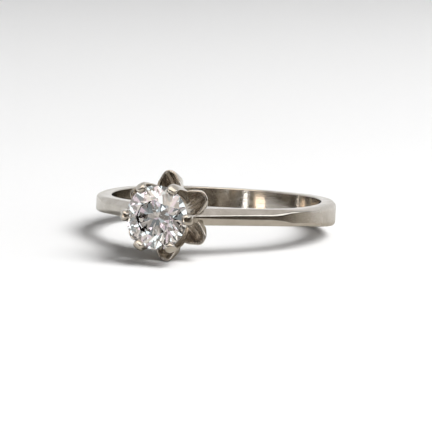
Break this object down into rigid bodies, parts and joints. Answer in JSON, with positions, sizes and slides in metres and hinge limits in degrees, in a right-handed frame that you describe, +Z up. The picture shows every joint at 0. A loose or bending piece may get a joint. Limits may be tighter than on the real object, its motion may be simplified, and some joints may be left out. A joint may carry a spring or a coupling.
{
  "type": "solitaire ring",
  "caption": "White-gold finger ring with a round brilliant held by claws over a petalled calyx, on a tapered band with bevelled shoulders, lying on its side.",
  "frame": {"origin": "the middle of the ring's length and width, on the surface that it lies on", "axes": "+Z up, -Y towards the head and its stone, X across the ring from shoulder to shoulder"},
  "size_m": [0.0194, 0.0249, 0.007],
  "materials": {
    "white_gold": "warm grey white gold, worn to a satin outside and polished inside the band",
    "brilliant": "near colourless cut stone, polished facets"
  },
  "bodies": {
    "root": {"band_with_setting": "white_gold", "stone": "brilliant"}
  },
  "joints": []
}
